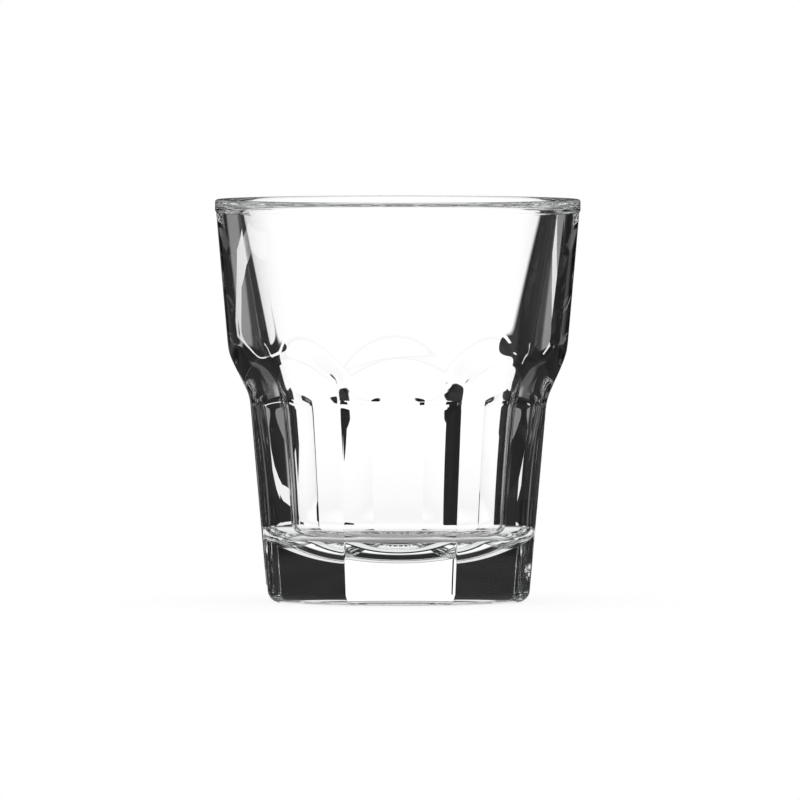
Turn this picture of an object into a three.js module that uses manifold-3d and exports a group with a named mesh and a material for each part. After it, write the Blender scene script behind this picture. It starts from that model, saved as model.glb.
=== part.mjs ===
import * as THREE from "three";
import { mergeVertices } from "three/addons/utils/BufferGeometryUtils.js";
import Module from "manifold-3d";

// A rocks glass pressed in one piece: round above, eight flat panels below, and a thick solid base.
// Millimetres, +Z up. The origin is on the axis, in the plane that the glass stands on.

// Outside of the glass.
const height = 91.2;
const rimDiameter = 83;
const rimBandHeight = 3;
const rimBandProud = 0.27;
const wallDraftDegrees = 5;
const lipOuterRadius = 0.6;

// Flat panels, which lie parallel to the round wall and run out into it at the top.
const panelCount = 8;
const panelDepth = 4.05;
const panelHeight = 46.4;
const panelFootRadius = 12;
const runOutDegrees = 26.7;
const heelRadius = 3;

// Inside of the glass: a round hollow that tapers down to a dished floor.
const rimWall = 4.6;
const lipInnerRadius = 2.6;
const kneeHeight = 32;
const kneeWall = 5.26;
const kneeRadius = 200;
const footWall = 4.65;
const floorRimHeight = 15.3;
const floorFilletRadius = 4;
const baseThickness = 9.8;

// Shallow hollow under the base, which leaves a flat ring to stand on.
const puntRadius = 21;
const puntDepth = 0.8;

// How finely the curves are divided.
const roundSegments = 96;
const filletSteps = 4;
const cutterMargin = 5;

const wallDraft = THREE.MathUtils.degToRad(wallDraftDegrees);
const runOut = THREE.MathUtils.degToRad(runOutDegrees);
const rimRadius = rimDiameter / 2;
const bandFootZ = height - rimBandHeight;

// Radius of the round outer wall, and distance from the axis to a panel, at a height.
function wallRadius(z) {
  return rimRadius - rimBandProud - (bandFootZ - z) * Math.tan(wallDraft);
}

function panelDistance(z) {
  return wallRadius(z) - panelDepth;
}

// A point of an outline, as a distance from the axis and a height, with the radius of its corner.
function corner(distance, z, radius = 0) {
  return { point: new THREE.Vector2(distance, z), radius };
}

// Points of the arc that rounds one corner, limited by the shorter of the two runs that meet there.
function arcAt(before, { point, radius }, after) {
  const back = before.clone().sub(point);
  const ahead = after.clone().sub(point);
  const halfAngle = back.angleTo(ahead) / 2;
  const reach = Math.min(radius / Math.tan(halfAngle), back.length() / 2, ahead.length() / 2);
  const start = point.clone().add(back.clone().setLength(reach));
  const bisector = back.clone().normalize().add(ahead.clone().normalize());
  const centre = point.clone().add(bisector.setLength(reach / Math.cos(halfAngle)));
  const turn = Math.sign(ahead.cross(back)) * (Math.PI - 2 * halfAngle);
  const points = [];
  for (let step = 0; step <= filletSteps; step += 1) {
    points.push(start.clone().rotateAround(centre, (turn * step) / filletSteps));
  }
  return points;
}

function roundedOutline(corners) {
  return corners.flatMap((item, index) => {
    if (item.radius === 0) return [item.point];
    return arcAt(corners[index - 1].point, item, corners[index + 1].point);
  });
}

const wasm = await Module();
wasm.setup();

// A closed three.js geometry as a solid, without the zero-area triangles that a lathe leaves on its axis.
function solidFrom(geometry) {
  geometry.deleteAttribute("normal");
  geometry.deleteAttribute("uv");
  const merged = mergeVertices(geometry, 1e-4);
  const triVerts = [];
  for (let i = 0; i < merged.index.count; i += 3) {
    const [a, b, c] = merged.index.array.slice(i, i + 3);
    if (a !== b && b !== c && c !== a) triVerts.push(a, b, c);
  }
  return new wasm.Manifold(
    new wasm.Mesh({
      numProp: 3,
      vertProperties: new Float32Array(merged.attributes.position.array),
      triVerts: new Uint32Array(triVerts),
    }),
  );
}

function geometryFrom(solid) {
  const { vertProperties, triVerts } = solid.getMesh();
  const geometry = new THREE.BufferGeometry();
  geometry.setAttribute("position", new THREE.BufferAttribute(vertProperties, 3));
  geometry.setIndex(new THREE.BufferAttribute(triVerts, 1));
  geometry.computeVertexNormals();
  return geometry;
}

// The round blank: up the outside, over the lip and down the inside to the floor.
function roundBlank() {
  const punt = new THREE.QuadraticBezierCurve(
    new THREE.Vector2(0, puntDepth),
    new THREE.Vector2(puntRadius / 2, puntDepth),
    new THREE.Vector2(puntRadius, 0),
  );
  const floorRim = panelDistance(floorRimHeight) - footWall;
  const dish = new THREE.QuadraticBezierCurve(
    new THREE.Vector2(floorRim, floorRimHeight),
    new THREE.Vector2(floorRim / 2, baseThickness),
    new THREE.Vector2(0, baseThickness),
  );
  const sides = roundedOutline([
    corner(wallRadius(0), 0),
    corner(wallRadius(bandFootZ), bandFootZ),
    corner(rimRadius, bandFootZ + rimBandProud),
    corner(rimRadius, height, lipOuterRadius),
    corner(rimRadius - rimWall, height, lipInnerRadius),
    corner(panelDistance(kneeHeight) - kneeWall, kneeHeight, kneeRadius),
    corner(floorRim, floorRimHeight, floorFilletRadius),
    ...dish.getPoints(filletSteps).slice(1).map((point) => corner(point.x, point.y)),
  ]);
  const profile = [...punt.getPoints(filletSteps), ...sides];
  return solidFrom(new THREE.LatheGeometry(profile, roundSegments).rotateX(Math.PI / 2));
}

// What one panel takes off the blank: all that lies outside its heel, its flat and its sloped run-out.
function panelCutter() {
  const outside = rimRadius + cutterMargin;
  const panelFoot = panelDistance(panelHeight);
  const runOutTop = panelHeight + (outside - panelFoot) / Math.tan(runOut);
  const outline = roundedOutline([
    corner(0, -cutterMargin),
    corner(outside, -cutterMargin),
    corner(outside, runOutTop),
    corner(panelFoot, panelHeight, panelFootRadius),
    corner(panelDistance(0), 0, heelRadius),
    corner(0, 0),
  ]);
  const length = 2 * outside;
  const slab = new THREE.ExtrudeGeometry(new THREE.Shape(outline), { depth: length, bevelEnabled: false });
  return slab.translate(0, 0, -length / 2).rotateX(Math.PI / 2);
}

function glassBody() {
  let glass = roundBlank();
  for (let panel = 0; panel < panelCount; panel += 1) {
    const turned = panelCutter().rotateZ((panel * 2 * Math.PI) / panelCount);
    glass = glass.subtract(solidFrom(turned));
  }
  return geometryFrom(glass);
}

const clearGlass = new THREE.MeshStandardMaterial({
  color: 0xeef4f1,
  roughness: 0.04,
  metalness: 0,
  transparent: true,
  opacity: 0.35,
});

const rocksGlass = new THREE.Group();
const body = new THREE.Mesh(glassBody(), clearGlass);
body.name = "glass_body";
rocksGlass.add(body);

export default rocksGlass;
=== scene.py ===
import math

import bpy
import numpy as np
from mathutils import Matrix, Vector


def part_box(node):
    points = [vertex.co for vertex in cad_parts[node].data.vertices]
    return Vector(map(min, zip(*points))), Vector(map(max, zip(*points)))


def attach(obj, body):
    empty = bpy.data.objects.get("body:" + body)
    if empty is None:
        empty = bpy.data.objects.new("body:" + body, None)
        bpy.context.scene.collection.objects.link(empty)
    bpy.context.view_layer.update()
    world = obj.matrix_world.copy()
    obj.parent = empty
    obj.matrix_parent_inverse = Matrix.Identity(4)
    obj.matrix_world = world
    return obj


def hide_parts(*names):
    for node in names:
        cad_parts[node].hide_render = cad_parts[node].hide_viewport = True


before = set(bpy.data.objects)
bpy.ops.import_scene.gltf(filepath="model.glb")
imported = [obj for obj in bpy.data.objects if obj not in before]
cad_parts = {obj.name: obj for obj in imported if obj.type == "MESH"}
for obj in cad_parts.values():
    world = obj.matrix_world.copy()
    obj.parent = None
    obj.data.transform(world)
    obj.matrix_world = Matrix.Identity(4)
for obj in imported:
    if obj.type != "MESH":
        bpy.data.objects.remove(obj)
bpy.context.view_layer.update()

scene = bpy.context.scene
scene.view_settings.view_transform = "Standard"
scene.cycles.max_bounces = 24  # light crosses four faces of the glass, and turns inside it many times
scene.cycles.glossy_bounces = 16
scene.cycles.transmission_bounces = 24
print("frame loaded:", sorted(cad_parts))

# Pressed glass, in metres and degrees. Its height and rim radius come from the frame.
glass = {
    "rimBandHeight": 0.003,
    "rimBandProud": 0.00027,
    "bandEase": 0.0005,
    "wallDraft": 5.0,
    "lipOuterRadius": 0.0006,
    "lipInnerRadius": 0.0026,
    "rimWall": 0.0046,
    "panelCount": 8,
    "panelDepth": 0.00405,
    "panelHeight": 0.0464,
    "panelFootRadius": 0.012,
    "runOutSlope": 26.7,
    "heelRadius": 0.003,
    "edgeSharpness": 420.0,  # higher is crisper along the edges between panels
    "crestSharpness": 110.0,  # and where the run-outs meet the round wall
    "shoulderTop": 0.062,  # the wall is plain and round above this
    "kneeHeight": 0.032,
    "kneeRadius": 0.027,
    "kneeEase": 0.2,
    "floorRim": 0.0262,
    "floorRimHeight": 0.0153,
    "floorFillet": 0.004,
    "baseThickness": 0.0098,  # at the middle of the dished floor
    "puntRadius": 0.021,
    "puntDepth": 0.0008,
    "waviness": 0.0000002,  # how far the hollow's wall wanders from a true cone
    "swellCount": 10,
    "swellSeed": 5,
    "swellFromLip": 0.006,  # the swells start this far below the lip, and end this far above the floor's rim
    "swellFromFloor": 0.002,
    "swellFade": 0.01,
    "columnsPerPanel": 48,
    "columnCrowding": 1.6,
    "puntRows": 14,
    "puntMiddle": 0.04,  # share of the radius at the innermost row
    "ringShares": (0.15, 0.4, 0.7, 0.9),
    "panelRows": 16,
    "shoulderRows": 52,
    "wallRows": 8,
    "bandRun": 0.001,  # the last row of the wall lies this far below the rim band
    "arcSteps": 14,
    "bandSteps": 4,
    "lipOuterSteps": 10,
    "lipInnerSteps": 20,
    "kneeSteps": 24,
    "profileStep": 0.0016,
    "floorRows": 18,
    "floorMiddle": 0.03,
}
_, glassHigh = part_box("glass_body")
glassHeight = glassHigh.z
rimRadius = glassHigh.x
bandFoot = glassHeight - glass["rimBandHeight"]
draft = math.tan(math.radians(glass["wallDraft"]))
runOut = math.tan(math.radians(glass["runOutSlope"]))


def wallRadius(z):
    return rimRadius - glass["rimBandProud"] - (bandFoot - z) * draft


def panelDistance(z):
    return wallRadius(z) - glass["panelDepth"]


# Points of the arc that rounds a corner of a profile, given as (distance, height) pairs.
def roundCorner(before, corner, after, radius, steps):
    before, corner, after = (np.array(p, float) for p in (before, corner, after))
    back = (before - corner) / np.linalg.norm(before - corner)
    ahead = (after - corner) / np.linalg.norm(after - corner)
    half = math.acos(float(np.clip(back @ ahead, -1, 1))) / 2
    reach = radius / math.tan(half)
    bisector = (back + ahead) / np.linalg.norm(back + ahead)
    centre = corner + bisector * radius / math.sin(half)
    start = corner + back * reach - centre
    end = corner + ahead * reach - centre
    first = math.atan2(start[1], start[0])
    turn = (math.atan2(end[1], end[0]) - first + math.pi) % (2 * math.pi) - math.pi
    return [
        centre + radius * np.array([math.cos(first + turn * t), math.sin(first + turn * t)])
        for t in np.linspace(0, 1, steps + 1)
    ]


# Extra points along a profile, no more than a step apart.
def fillIn(points, step):
    filled = [np.array(points[0], float)]
    for end in points[1:]:
        start = filled[-1]
        count = max(1, math.ceil(np.linalg.norm(end - start) / step))
        filled += [start + (end - start) * i / count for i in range(1, count + 1)]
    return filled


# Angles of the mesh's columns, from the middle of the front panel, closer together at the panels' edges.
def columnAngles():
    across = np.linspace(-1, 1, glass["columnsPerPanel"], endpoint=False)
    across = np.sign(across) * (1 - (1 - np.abs(across)) ** glass["columnCrowding"])
    panel = 2 * math.pi / glass["panelCount"]
    return (np.arange(glass["panelCount"])[:, None] * panel + across * panel / 2).ravel()


angles = columnAngles()
panelMiddles = np.arange(glass["panelCount"]) * 2 * math.pi / glass["panelCount"]
facing = np.maximum(np.cos(angles[:, None] - panelMiddles[None, :]), 1e-6)


# Radius at each column where flat panels stand at a distance from the axis, with their edges eased,
# held inside the round wall where a limit is given.
def panelSection(distance, limit=None):
    sharp = glass["edgeSharpness"]
    inverse = np.logaddexp.reduce(np.log(facing / distance) * sharp, axis=1) / sharp
    if limit is not None:
        sharp = glass["crestSharpness"]
        inverse = np.logaddexp(inverse * sharp, -math.log(limit) * sharp) / sharp
    return np.exp(-inverse)


# The outside, as rows of (height, radius at each column), from under the base up to the rim band.
def outerRows():
    ones = np.ones_like(angles)
    rows = []
    for share in np.linspace(glass["puntMiddle"], 1, glass["puntRows"]):
        rows.append((glass["puntDepth"] * (1 - share**2), glass["puntRadius"] * share * ones))
    panelFoot = (panelDistance(0), 0)
    panelTop = (panelDistance(glass["panelHeight"]), glass["panelHeight"])
    runOutEnd = (panelTop[0] + runOut * glass["panelHeight"], 2 * glass["panelHeight"])
    heel = roundCorner((0, 0), panelFoot, panelTop, glass["heelRadius"], glass["arcSteps"])
    foot = roundCorner(panelFoot, panelTop, runOutEnd, glass["panelFootRadius"], glass["arcSteps"])
    ring = panelSection(heel[0][0])
    for share in glass["ringShares"]:
        rows.append((0.0, glass["puntRadius"] * ones * (1 - share) + ring * share))
    rows += [(z, panelSection(distance)) for distance, z in heel]
    for z in np.linspace(heel[-1][1], foot[0][1], glass["panelRows"])[1:-1]:
        rows.append((z, panelSection(panelDistance(z))))
    rows += [(z, panelSection(distance, wallRadius(z))) for distance, z in foot]
    for z in np.linspace(foot[-1][1], glass["shoulderTop"], glass["shoulderRows"])[1:]:
        rows.append((z, panelSection(panelTop[0] + (z - panelTop[1]) * runOut, wallRadius(z))))
    for z in np.linspace(glass["shoulderTop"], bandFoot - glass["bandRun"], glass["wallRows"])[1:]:
        rows.append((z, wallRadius(z) * ones))
    return rows


# The rim band, the lip and the hollow, as a profile from the band's foot to the floor.
def innerProfile():
    ease = glass["bandEase"]
    bandLow = (wallRadius(bandFoot), bandFoot)
    bandHigh = (rimRadius, bandFoot + ease)
    outerLip = (rimRadius, glassHeight)
    innerLip = (rimRadius - glass["rimWall"], glassHeight)
    knee = (glass["kneeRadius"], glass["kneeHeight"])
    corner = (glass["floorRim"], glass["floorRimHeight"])
    dip = (glass["floorRim"] / 2, glass["baseThickness"])  # the dish leaves its rim towards here
    belowZ = bandFoot - glass["bandRun"]
    below = (wallRadius(belowZ), belowZ)
    profile = roundCorner(below, bandLow, bandHigh, ease, glass["bandSteps"])
    profile += roundCorner(bandLow, bandHigh, outerLip, ease, glass["bandSteps"])
    profile += roundCorner(bandHigh, outerLip, innerLip, glass["lipOuterRadius"], glass["lipOuterSteps"])
    profile += roundCorner(outerLip, innerLip, knee, glass["lipInnerRadius"], glass["lipInnerSteps"])
    profile += roundCorner(innerLip, knee, corner, glass["kneeEase"], glass["kneeSteps"])
    profile += roundCorner(knee, corner, dip, glass["floorFillet"], glass["arcSteps"])
    return fillIn(profile, glass["profileStep"])


# Slow swells in the hollow's wall, as a pressed glass has, faded out at the lip and the floor.
def swell(z):
    rng = np.random.default_rng(glass["swellSeed"])
    total = np.zeros_like(angles)
    for _ in range(glass["swellCount"]):
        around, along = rng.integers(1, 7), rng.uniform(-90, 90)
        total += rng.uniform(0.4, 1) * np.cos(around * angles + along * z + rng.uniform(0, 2 * math.pi))
    belowLip = glassHeight - glass["swellFromLip"] - z
    aboveFloor = z - glass["floorRimHeight"] - glass["swellFromFloor"]
    fade = np.clip(belowLip / glass["swellFade"], 0, 1) * np.clip(aboveFloor / glass["swellFade"], 0, 1)
    return glass["waviness"] * fade * total


def glassMesh():
    rows = outerRows()
    profile = innerProfile()
    for radius, z in profile:
        inside = radius < rimRadius - glass["rimWall"] + glass["lipInnerRadius"] / 4
        rows.append((z, radius + (swell(z) if inside else np.zeros_like(angles))))
    dishRadius, dishRise = profile[-1] - np.array([0, glass["baseThickness"]])
    slope = (glass["floorRimHeight"] - glass["baseThickness"]) / (glass["floorRim"] / 2)
    for share in np.linspace(1, glass["floorMiddle"], glass["floorRows"])[1:]:
        rise = dishRise * share ** (slope * dishRadius / dishRise)
        rows.append((glass["baseThickness"] + rise, dishRadius * share * np.ones_like(angles)))
    columns = len(angles)
    grid = [np.stack([r * np.sin(angles), -r * np.cos(angles), np.full(columns, z)], 1) for z, r in rows]
    bottom, top = len(rows) * columns, len(rows) * columns + 1  # middles of the underside and the floor
    middles = np.array([[0, 0, glass["puntDepth"]], [0, 0, glass["baseThickness"]]])
    points = np.concatenate(grid + [middles])
    here = np.arange(columns)
    after = (here + 1) % columns
    quads = []
    for row in range(len(rows) - 1):
        low, high = row * columns, (row + 1) * columns
        quads.append(np.stack([here + low, after + low, after + high, here + high], 1))
    faces = np.concatenate(quads).tolist()
    last = (len(rows) - 1) * columns
    faces += [[int(b), int(a), bottom] for a, b in zip(here, after)]
    faces += [[int(a) + last, int(b) + last, top] for a, b in zip(here, after)]
    mesh = bpy.data.meshes.new("glass_body_fine")
    mesh.from_pydata(points.tolist(), [], faces)
    mesh.shade_smooth()
    print("glass mesh:", len(mesh.polygons), "faces")
    return mesh


def addNode(tree, kind, **settings):
    node = tree.nodes.new(kind)
    for name, value in settings.items():
        setattr(node, name, value)
    return node


# Joins a socket to an input, or writes a plain value there.
def feed(tree, socket, value):
    if isinstance(value, bpy.types.NodeSocket):
        tree.links.new(value, socket)
    else:
        socket.default_value = value


def calc(tree, operation, *values):
    node = addNode(tree, "ShaderNodeMath", operation=operation)
    for socket, value in zip(node.inputs, values):
        feed(tree, socket, value)
    return node.outputs[0]


def easeStep(tree, value, low, high):
    node = addNode(tree, "ShaderNodeMapRange", interpolation_type="SMOOTHSTEP")
    feed(tree, node.inputs["Value"], value)
    feed(tree, node.inputs["From Min"], low)
    feed(tree, node.inputs["From Max"], high)
    return node.outputs["Result"]


def blendTones(tree, factor, first, second):
    node = addNode(tree, "ShaderNodeMix", data_type="FLOAT")
    for index, value in ((0, factor), (2, first), (3, second)):
        feed(tree, node.inputs[index], value)
    return node.outputs[0]


# A value looked up along straight runs between (position, value) stops.
def lookUp(tree, position, stops):
    places = [place for place, _ in stops]
    values = [value for _, value in stops]
    first, last = min(places), max(places)
    lowest, highest = min(values), max(values)
    ramp = addNode(tree, "ShaderNodeValToRGB")
    along = calc(tree, "SUBTRACT", position, first)
    feed(tree, ramp.inputs["Fac"], calc(tree, "DIVIDE", along, last - first))
    elements = ramp.color_ramp.elements
    elements.remove(elements[1])
    for index, (place, value) in enumerate(stops):
        share = (place - first) / (last - first)
        element = elements.new(share) if index else elements[0]
        element.position = share
        element.color = [(value - lowest) / (highest - lowest)] * 3 + [1]
    red = addNode(tree, "ShaderNodeSeparateColor")
    tree.links.new(ramp.outputs["Color"], red.inputs["Color"])
    return calc(tree, "ADD", calc(tree, "MULTIPLY", red.outputs["Red"], highest - lowest), lowest)


# Clear glass: faintly green in thick stretches, with a soft ripple and a scuffed standing ring.
clearGlass = {
    "colour": (1.0, 1.0, 1.0, 1.0),
    "ior": 1.52,
    "sheen": (0.12, 0.12, 0.12, 1.0),  # share of the light that a clean face sends back
    "absorptionColour": (0.80, 0.90, 0.86, 1.0),
    "absorption": 2.0,
    "polish": 0.0,
    "scuffed": 0.16,
    "scuffHeight": 0.00025,
    "scratchScale": 2400.0,
    "scratchFrom": 0.42,
    "scratchTo": 0.62,
    "rippleScale": 70.0,
    "rippleHeight": 0.00000002,
}


def clearGlassMaterial():
    material = bpy.data.materials.new("clear_glass_fine")
    material.use_nodes = True
    tree = material.node_tree
    shader = tree.nodes["Principled BSDF"]
    output = tree.nodes["Material Output"]
    shader.inputs["Base Color"].default_value = clearGlass["colour"]
    shader.inputs["Transmission Weight"].default_value = 1.0
    shader.inputs["IOR"].default_value = clearGlass["ior"]
    shader.inputs["Specular Tint"].default_value = clearGlass["sheen"]
    place = addNode(tree, "ShaderNodeTexCoord").outputs["Object"]
    height = addNode(tree, "ShaderNodeSeparateXYZ")
    tree.links.new(place, height.inputs[0])
    scratches = addNode(tree, "ShaderNodeTexNoise")
    tree.links.new(place, scratches.inputs["Vector"])
    scratches.inputs["Scale"].default_value = clearGlass["scratchScale"]
    low = easeStep(tree, height.outputs["Z"], clearGlass["scuffHeight"], clearGlass["scuffHeight"] / 5)
    scratched = easeStep(tree, scratches.outputs["Fac"], clearGlass["scratchFrom"], clearGlass["scratchTo"])
    scuff = calc(tree, "MULTIPLY", low, scratched)
    rough = blendTones(tree, scuff, clearGlass["polish"], clearGlass["scuffed"])
    tree.links.new(rough, shader.inputs["Roughness"])
    ripple = addNode(tree, "ShaderNodeTexNoise")
    tree.links.new(place, ripple.inputs["Vector"])
    ripple.inputs["Scale"].default_value = clearGlass["rippleScale"]
    ripple.inputs["Detail"].default_value = 1.0
    bump = addNode(tree, "ShaderNodeBump")
    bump.inputs["Strength"].default_value = 1.0
    bump.inputs["Distance"].default_value = clearGlass["rippleHeight"]
    tree.links.new(ripple.outputs["Fac"], bump.inputs["Height"])
    tree.links.new(bump.outputs["Normal"], shader.inputs["Normal"])
    body = addNode(tree, "ShaderNodeVolumeAbsorption")
    body.inputs["Color"].default_value = clearGlass["absorptionColour"]
    body.inputs["Density"].default_value = clearGlass["absorption"]
    tree.links.new(body.outputs[0], output.inputs["Volume"])
    print("material:", material.name)
    return material


glassPiece = bpy.data.objects.new("glass_body_fine", glassMesh())
scene.collection.objects.link(glassPiece)
glassPiece.data.materials.append(clearGlassMaterial())
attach(glassPiece, "root")
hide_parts("glass_body")

# Soft white studio. Directions are in degrees from the photo's line of sight, tones from black 0 to white 1.
# Light that comes straight through the glass is from white panels, with dark cards beside them.
# Light that has turned inside the glass, or glances off it, is from the tones listed here.
studio = {
    "sightAzimuth": 1.1,
    "panelStep": 90.0,  # lit panels stand a quarter turn apart from the line of sight on
    "extraPanel": 135.0,  # and one more stands here
    "leftEdge": (
        (-30, -25), (-12.3, -25), (-11.4, -23), (-10.2, -22.5), (-9.6, -16.4), (-6.4, -16.4), (-6.1, -30),
        (-0.6, -30), (0.2, -24), (2.2, -24), (2.7, -20), (9, -20), (10, -14), (18, -12.5), (30, -12.5),
    ),
    "rightEdge": (
        (-30, 21), (-12.5, 21), (-11.5, 16.5), (-9.5, 13.5), (-6.6, 12.3), (-6.3, 13), (-5.95, 27), (1.6, 27),
        (2.3, 18.6), (8.2, 18.6), (9.2, 13.5), (11, 13.5), (14, 11.5), (17.5, 8), (30, 8),
    ),
    "panelTones": (
        (-30, 1.06), (-4, 1.06), (-2.5, 1.02), (-0.6, 0.98), (0.3, 0.94), (1, 1.06), (30, 1.06),
    ),
    "edgeSoftness": 0.8,
    "shade": 0.012,
    "white": 1.06,
    "tableFrom": -18,  # directions lower than this are all pale table
    "tableSoftness": 1.5,
    "ceilingFrom": 50,
    "ceilingSoftness": 4,
    "flankTones": ((80, 0.6), (105, 0.6), (125, 0.15), (180, 0.15)),  # both sides, all turned light
    "steepTones": (
        (-72, 0.4), (-66, 0.02), (-50, 0.04), (-42.5, 0.05), (-39.5, 0.29), (-23, 0.33), (-19.5, 0.02),
        (-4, 0.03), (1, 0.08), (8, 0.14), (11, 0.02), (27, 0.03), (30, 0.29), (41, 0.29), (44, 0.05),
        (66, 0.02), (72, 0.4),
    ),
    "zoneSoftness": 0.4,  # each zone of tones takes over, above where it starts, from the one before
    "slant": 0.25,  # how far the sloping zone's start sinks with each degree to the side
    "slopingFrom": -3.0,
    "slopingTones": (
        (-76, 0.5), (-71, 0.02), (-28, 0.01), (-24, 0.4), (-17, 0.4), (-12, 0.3), (12, 0.3), (17, 0.4),
        (24, 0.4), (29, 0.01), (72, 0.01), (77, 0.5),
    ),
    "levelFrom": -5.5,
    "levelTones": ((-75, 0.02), (75, 0.02)),
    "risingFrom": -0.5,
    "risingTones": (
        (-69, 0.35), (-63, 0.1), (-45, 0.1), (-40, 0.015), (40, 0.015), (45, 0.1), (63, 0.1), (69, 0.35),
    ),
    "wallFrom": 14,  # dim from here up to the ceiling for turned light
    "wallSoftness": 3,
    "wallTone": 0.02,
    "deepTurns": 3.5,  # light that turns more often than this sees a painted dark tone
    "deepPaintedShade": 0.02,
    "glanceTones": (
        (-180, 0.2), (-125, 0.2), (-105, 0.5), (-78, 0.5), (-60, 0.05), (60, 0.05), (78, 0.5), (105, 0.5),
        (125, 0.2), (180, 0.2),
    ),
    "backdrop": 1.0,
}


def litPanel(tree, azimuth, elevation):
    soft = studio["edgeSoftness"]
    left = lookUp(tree, elevation, studio["leftEdge"])
    right = lookUp(tree, elevation, studio["rightEdge"])
    inside = easeStep(tree, calc(tree, "SUBTRACT", azimuth, left), -soft, soft)
    outside = easeStep(tree, calc(tree, "SUBTRACT", azimuth, right), -soft, soft)
    return calc(tree, "MULTIPLY", inside, calc(tree, "SUBTRACT", 1.0, outside))


# Tones all the way around, from those of the middle and the flanks.
def aroundTones(middle):
    flank = studio["flankTones"]
    mirrored = tuple((-place, tone) for place, tone in reversed(flank))
    return mirrored + middle + flank


# A mask of the light that has turned inside the glass, or glanced off it, at least so many times.
def turnedLight(tree, path, turns=0.5):
    return calc(tree, "GREATER_THAN", path.outputs["Glossy Depth"], turns)


def studioWorld():
    world = bpy.data.worlds.new("studio")
    world.use_nodes = True
    world.cycles.sampling_method = "NONE"
    scene.world = world
    tree = world.node_tree
    direction = addNode(tree, "ShaderNodeSeparateXYZ")
    tree.links.new(addNode(tree, "ShaderNodeTexCoord").outputs["Generated"], direction.inputs[0])
    toDegrees = 180 / math.pi
    heading = calc(tree, "ARCTAN2", direction.outputs["X"], direction.outputs["Y"])
    azimuth = calc(tree, "SUBTRACT", calc(tree, "MULTIPLY", heading, toDegrees), studio["sightAzimuth"])
    elevation = calc(tree, "MULTIPLY", calc(tree, "ARCSINE", direction.outputs["Z"]), toDegrees)
    halfStep = studio["panelStep"] / 2
    regular = litPanel(tree, calc(tree, "WRAP", azimuth, halfStep, -halfStep), elevation)
    extra = litPanel(tree, calc(tree, "SUBTRACT", azimuth, studio["extraPanel"]), elevation)
    lit = calc(tree, "MAXIMUM", regular, extra)
    soft = studio["tableSoftness"]
    table = easeStep(tree, elevation, studio["tableFrom"] + soft, studio["tableFrom"] - soft)
    lit = calc(tree, "MAXIMUM", lit, table)
    straight = blendTones(tree, lit, studio["shade"], lookUp(tree, elevation, studio["panelTones"]))
    turned = lookUp(tree, azimuth, aroundTones(studio["steepTones"]))
    aside = calc(tree, "MULTIPLY", calc(tree, "ABSOLUTE", azimuth), studio["slant"])
    slanted = calc(tree, "ADD", elevation, aside)
    for name, height in (("sloping", slanted), ("level", elevation), ("rising", elevation)):
        start, soft = studio[name + "From"], studio["zoneSoftness"]
        isHigher = easeStep(tree, height, start - soft, start + soft)
        zone = lookUp(tree, azimuth, aroundTones(studio[name + "Tones"]))
        turned = blendTones(tree, isHigher, turned, zone)
    soft = studio["wallSoftness"]
    isWall = easeStep(tree, elevation, studio["wallFrom"] - soft, studio["wallFrom"] + soft)
    turned = blendTones(tree, isWall, turned, studio["wallTone"])
    path = addNode(tree, "ShaderNodeLightPath")
    # Painted shade for light that has turned many times inside the glass.
    turned = blendTones(tree, turnedLight(tree, path, studio["deepTurns"]), turned, studio["deepPaintedShade"])
    isGlance = calc(tree, "LESS_THAN", path.outputs["Transmission Depth"], 0.5)
    turned = blendTones(tree, isGlance, turned, lookUp(tree, azimuth, studio["glanceTones"]))
    tone = blendTones(tree, turnedLight(tree, path), straight, turned)
    soft = studio["ceilingSoftness"]
    ceiling = easeStep(tree, elevation, studio["ceilingFrom"] - soft, studio["ceilingFrom"] + soft)
    tone = blendTones(tree, ceiling, tone, studio["white"])
    plain = calc(tree, "MAXIMUM", path.outputs["Is Camera Ray"], path.outputs["Is Diffuse Ray"])
    tone = blendTones(tree, plain, tone, studio["backdrop"])
    tree.links.new(tone, tree.nodes["Background"].inputs["Strength"])
    tree.nodes["Background"].inputs["Color"].default_value = (1, 1, 1, 1)
    print("studio set")


# Pale round table top. It glows a little, so that it meets the white backdrop, and still takes a shadow on
# its diffuse part; under the glass its glow is darkened as well, a painted shadow.
tableTop = {
    "radius": 0.18,
    "below": 0.0001,
    "glow": 0.82,
    "colour": (0.2, 0.2, 0.2, 1.0),
    "glowWhenTurned": 0.7,  # painted tones that light which has turned inside the glass sees of it, near and far
    "farGlowWhenTurned": 0.03,
    "farFrom": 0.09,
    "farEase": 0.01,
    "paintedShadeFrom": 0.021,  # painted shadow: under the glass the table's glow is darkened
    "paintedShadeTo": 0.029,
    "paintedShadeShare": 0.3,
    "sides": 96,
}


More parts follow.
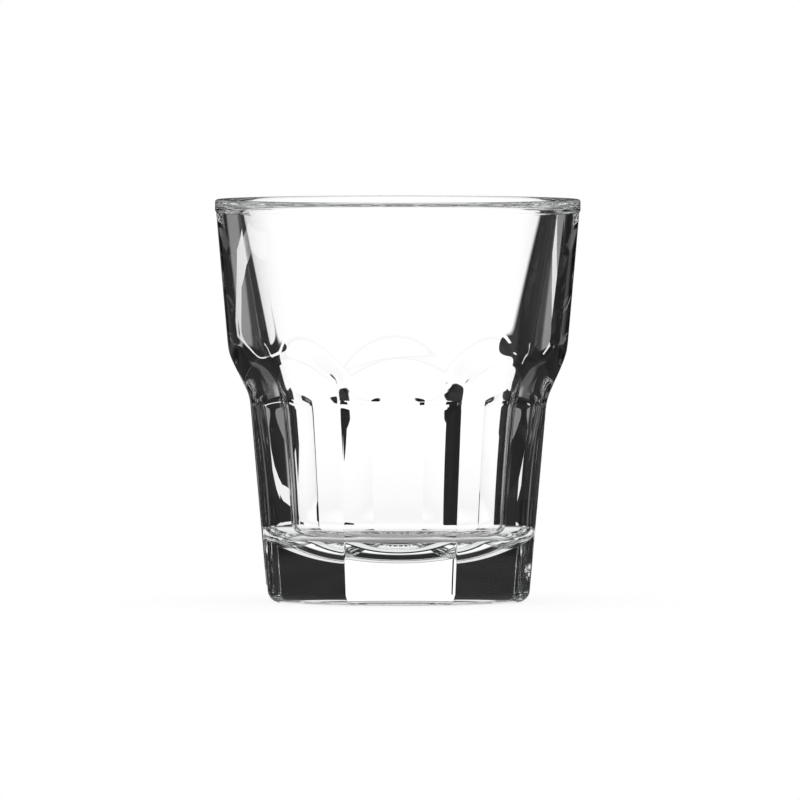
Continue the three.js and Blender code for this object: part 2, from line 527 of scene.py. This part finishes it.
def paleTable():
    mesh = bpy.data.meshes.new("table_top")
    radius = tableTop["radius"]
    turns = np.arange(tableTop["sides"]) * 2 * math.pi / tableTop["sides"]
    ring = [(radius * math.cos(t), radius * math.sin(t), -tableTop["below"]) for t in turns]
    mesh.from_pydata(ring, [], [list(range(tableTop["sides"]))])
    table = bpy.data.objects.new("table_top", mesh)
    scene.collection.objects.link(table)
    material = bpy.data.materials.new("pale_table")
    material.use_nodes = True
    tree = material.node_tree
    tree.nodes.remove(tree.nodes["Principled BSDF"])
    hasTurned = turnedLight(tree, addNode(tree, "ShaderNodeLightPath"))
    fromMiddle = addNode(tree, "ShaderNodeVectorMath", operation="LENGTH")
    tree.links.new(addNode(tree, "ShaderNodeTexCoord").outputs["Object"], fromMiddle.inputs[0])
    # Painted reflection: light that has turned inside the glass sees the table at tones of its own, nearly
    # black far out.
    farFrom = tableTop["farFrom"]
    isFar = easeStep(tree, fromMiddle.outputs["Value"], farFrom, farFrom + tableTop["farEase"])
    turnedGlow = blendTones(tree, isFar, tableTop["glowWhenTurned"], tableTop["farGlowWhenTurned"])
    glowing = blendTones(tree, hasTurned, tableTop["glow"], turnedGlow)
    # Painted shadow: under the glass the glow falls to a share of itself.
    clear = easeStep(tree, fromMiddle.outputs["Value"], tableTop["paintedShadeFrom"], tableTop["paintedShadeTo"])
    share = blendTones(tree, clear, tableTop["paintedShadeShare"], 1.0)
    glow = addNode(tree, "ShaderNodeEmission")
    tree.links.new(calc(tree, "MULTIPLY", glowing, share), glow.inputs["Strength"])
    surface = addNode(tree, "ShaderNodeBsdfDiffuse")
    surface.inputs["Color"].default_value = tableTop["colour"]
    both = addNode(tree, "ShaderNodeAddShader")
    tree.links.new(glow.outputs[0], both.inputs[0])
    tree.links.new(surface.outputs[0], both.inputs[1])
    tree.links.new(both.outputs[0], tree.nodes["Material Output"].inputs["Surface"])
    mesh.materials.append(material)
    print("table set")


# A flat prop for the light, out of the camera's sight and without a shadow.
def placeProp(name, corners, faces, material):
    mesh = bpy.data.meshes.new(name)
    mesh.from_pydata(corners, [], faces)
    mesh.materials.append(material)
    piece = bpy.data.objects.new(name, mesh)
    piece.visible_camera = False
    piece.visible_shadow = False
    piece.visible_diffuse = False
    scene.collection.objects.link(piece)


# Dark cards behind the glass. They draw the dark bars and tabs that are seen through it.
darkCards = {
    "left_bar": {"distance": 0.2, "from": -0.112, "to": -0.069, "bottom": 0.002, "top": 0.0153},
    "right_bar": {"distance": 0.2, "from": 0.076, "to": 0.17, "bottom": 0.002, "top": 0.0255},
    "left_tab": {"distance": 0.4, "from": -0.26, "to": -0.135, "bottom": 0.028, "top": 0.082},
    "right_tab": {"distance": 0.4, "from": 0.117, "to": 0.23, "bottom": 0.03, "top": 0.092},
    "right_side": {"distance": 0.4, "from": 0.146, "to": 0.23, "bottom": -0.03, "top": 0.03},
}
cardTone = 0.012


def placeCards():
    material = bpy.data.materials.new("black_card")
    material.use_nodes = True
    shader = material.node_tree.nodes["Principled BSDF"]
    shader.inputs["Base Color"].default_value = (cardTone, cardTone, cardTone, 1.0)
    shader.inputs["Roughness"].default_value = 1.0
    shader.inputs["Specular IOR Level"].default_value = 0.0
    for name, card in darkCards.items():
        low, high = (card["distance"], card["bottom"]), (card["distance"], card["top"])
        corners = [(card["from"], *low), (card["to"], *low), (card["to"], *high), (card["from"], *high)]
        placeProp("dark_card_" + name, corners, [(0, 1, 2, 3)], material)
    print("dark cards:", len(darkCards))


# Low glowing strips that stand farther out, level with the table: painted glints. Only light that has turned
# inside the glass shows them.
glintStrips = {
    "left_high": {"height": 0.0085, "line": ((-0.228, 0.182), (-0.19, 0.228), (-0.1, 0.255))},
    "left_low": {"height": 0.0065, "line": ((-0.25, 0.05), (-0.25, 0.14), (-0.228, 0.182))},
    "right": {"height": 0.0095, "line": ((0.12, 0.226), (0.19, 0.206), (0.237, 0.195))},
}
glintTone = 0.9


def placeGlintStrips():
    material = bpy.data.materials.new("painted_glint_strip")
    material.use_nodes = True
    tree = material.node_tree
    tree.nodes.remove(tree.nodes["Principled BSDF"])
    hasTurned = turnedLight(tree, addNode(tree, "ShaderNodeLightPath"))
    # Painted glint: a glow for light that has turned inside the glass, clear to all other light.
    glow = addNode(tree, "ShaderNodeEmission")
    glow.inputs["Strength"].default_value = glintTone
    mixed = addNode(tree, "ShaderNodeMixShader")
    tree.links.new(hasTurned, mixed.inputs["Fac"])
    tree.links.new(addNode(tree, "ShaderNodeBsdfTransparent").outputs[0], mixed.inputs[1])
    tree.links.new(glow.outputs[0], mixed.inputs[2])
    tree.links.new(mixed.outputs[0], tree.nodes["Material Output"].inputs["Surface"])
    for name, strip in glintStrips.items():
        count = len(strip["line"])
        corners = [(x, y, z) for z in (0, strip["height"]) for x, y in strip["line"]]
        faces = [(i, i + 1, count + i + 1, count + i) for i in range(count - 1)]
        placeProp("painted_glint_strip_" + name, corners, faces, material)
    print("white strips:", len(glintStrips))


# Long lens, a little above the rim, as the photo was taken.
viewpoint = {
    "distance": 4.5,
    "height": 0.183,
    "aimHeight": 0.0456,
    "aimSide": 0.0005,
    "frameWidth": 0.1817,  # what the picture spans at the glass
    "sensor": 36.0,
}


def photoCamera():
    turn = math.radians(-studio["sightAzimuth"])
    side = Vector((math.cos(turn), math.sin(turn), 0)) * viewpoint["aimSide"]
    away = Vector((math.sin(turn), -math.cos(turn), 0)) * viewpoint["distance"]
    aim = side + Vector((0, 0, viewpoint["aimHeight"]))
    place = side + away + Vector((0, 0, viewpoint["height"]))
    lens = bpy.data.cameras.new("photo_camera")
    lens.sensor_width = viewpoint["sensor"]
    lens.lens = viewpoint["sensor"] * (aim - place).length / viewpoint["frameWidth"]
    camera = bpy.data.objects.new("photo_camera", lens)
    camera.location = place
    camera.rotation_euler = (aim - place).to_track_quat("-Z", "Y").to_euler()
    scene.collection.objects.link(camera)
    scene.camera = camera
    print("camera set, lens", round(lens.lens), "mm")


studioWorld()
paleTable()
placeCards()
placeGlintStrips()
photoCamera()
